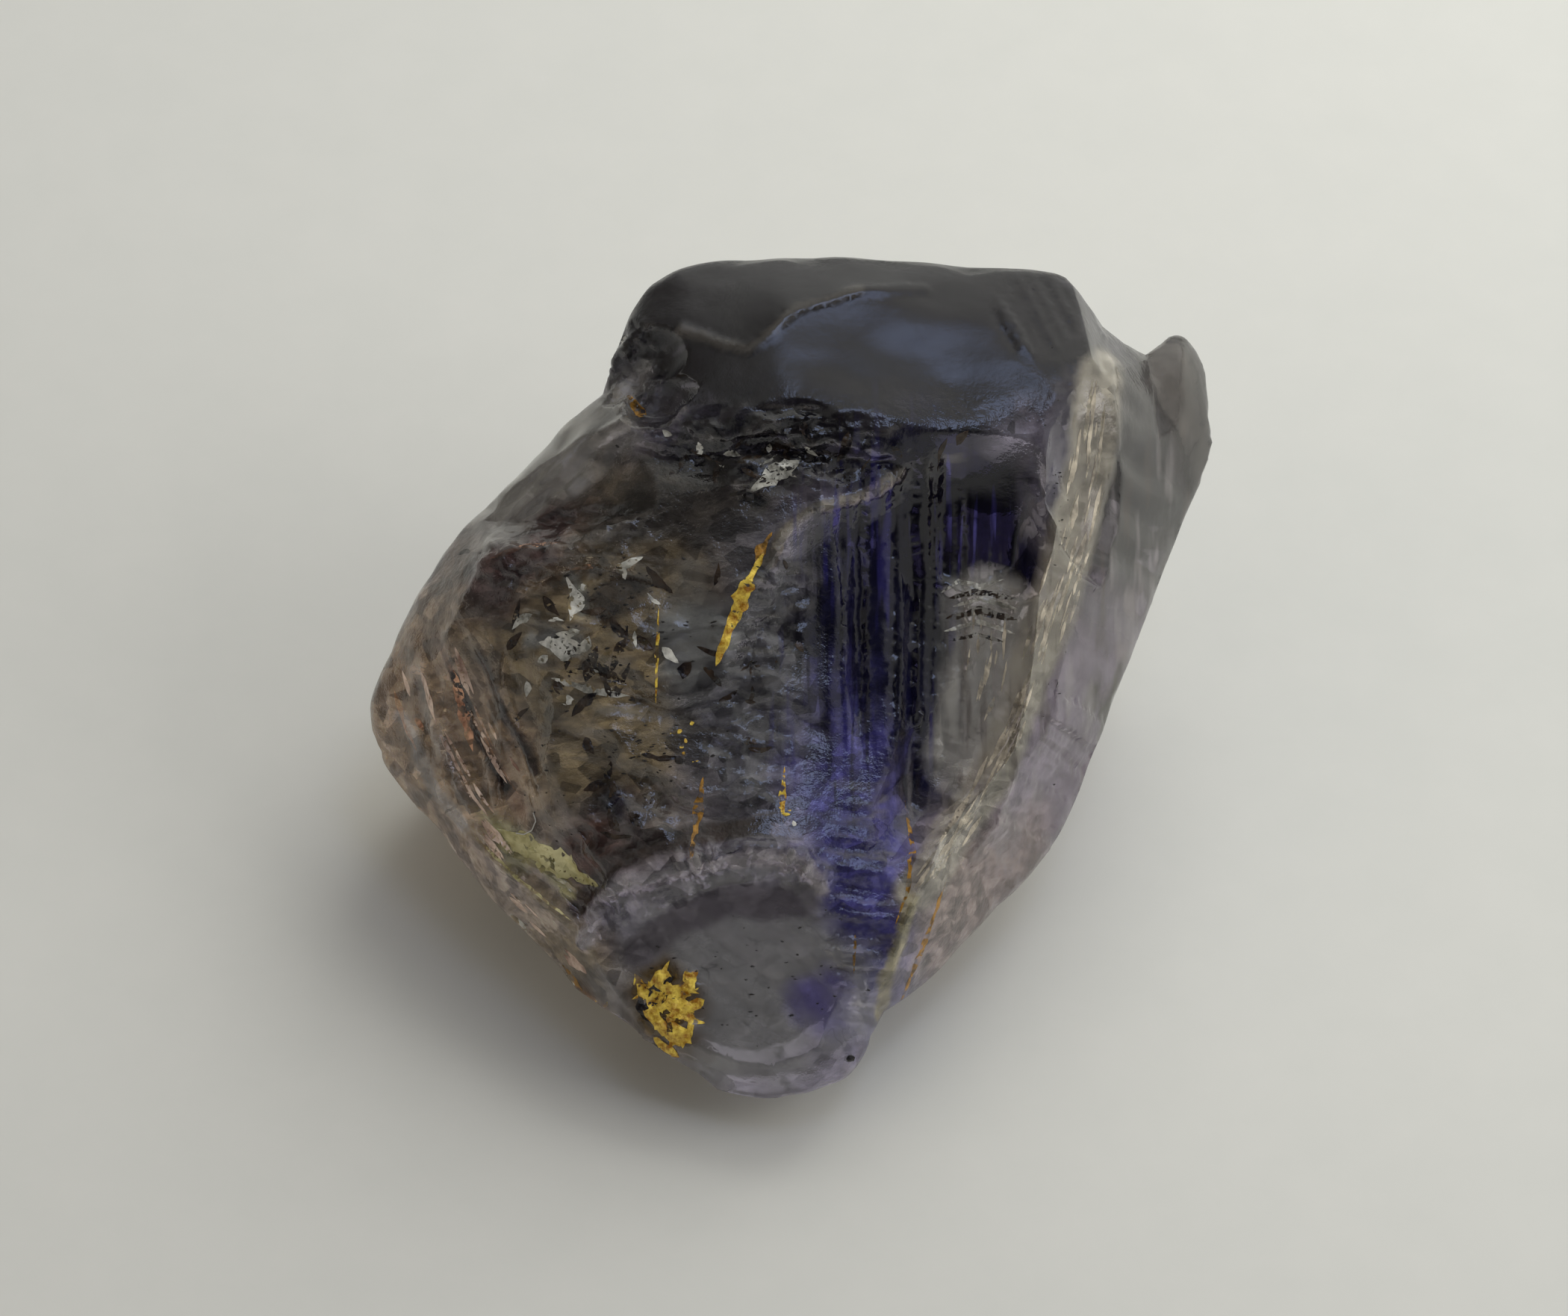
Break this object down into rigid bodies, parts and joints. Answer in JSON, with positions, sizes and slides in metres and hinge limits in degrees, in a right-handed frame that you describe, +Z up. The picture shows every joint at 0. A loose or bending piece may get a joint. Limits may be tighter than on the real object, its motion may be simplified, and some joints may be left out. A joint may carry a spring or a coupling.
{
  "type": "rough tanzanite",
  "caption": "Rough tanzanite: a broken clear violet-blue crystal with a smoky brown side, a small horn at the back and a rounded front tip, resting on a flat cleavage face.",
  "frame": {"origin": "centre of the bounding box's underside, on the surface that the stone rests on", "axes": "+Z up as the stone rests, -Y towards the viewer of the picture, +X to that viewer's right"},
  "size_m": [0.0126, 0.0116, 0.0075],
  "materials": {
    "clear_tanzanite": "glassy fracture faces, clear violet-blue to smoky brown"
  },
  "bodies": {
    "root": {"tanzanite_crystal": "clear_tanzanite"}
  },
  "joints": []
}
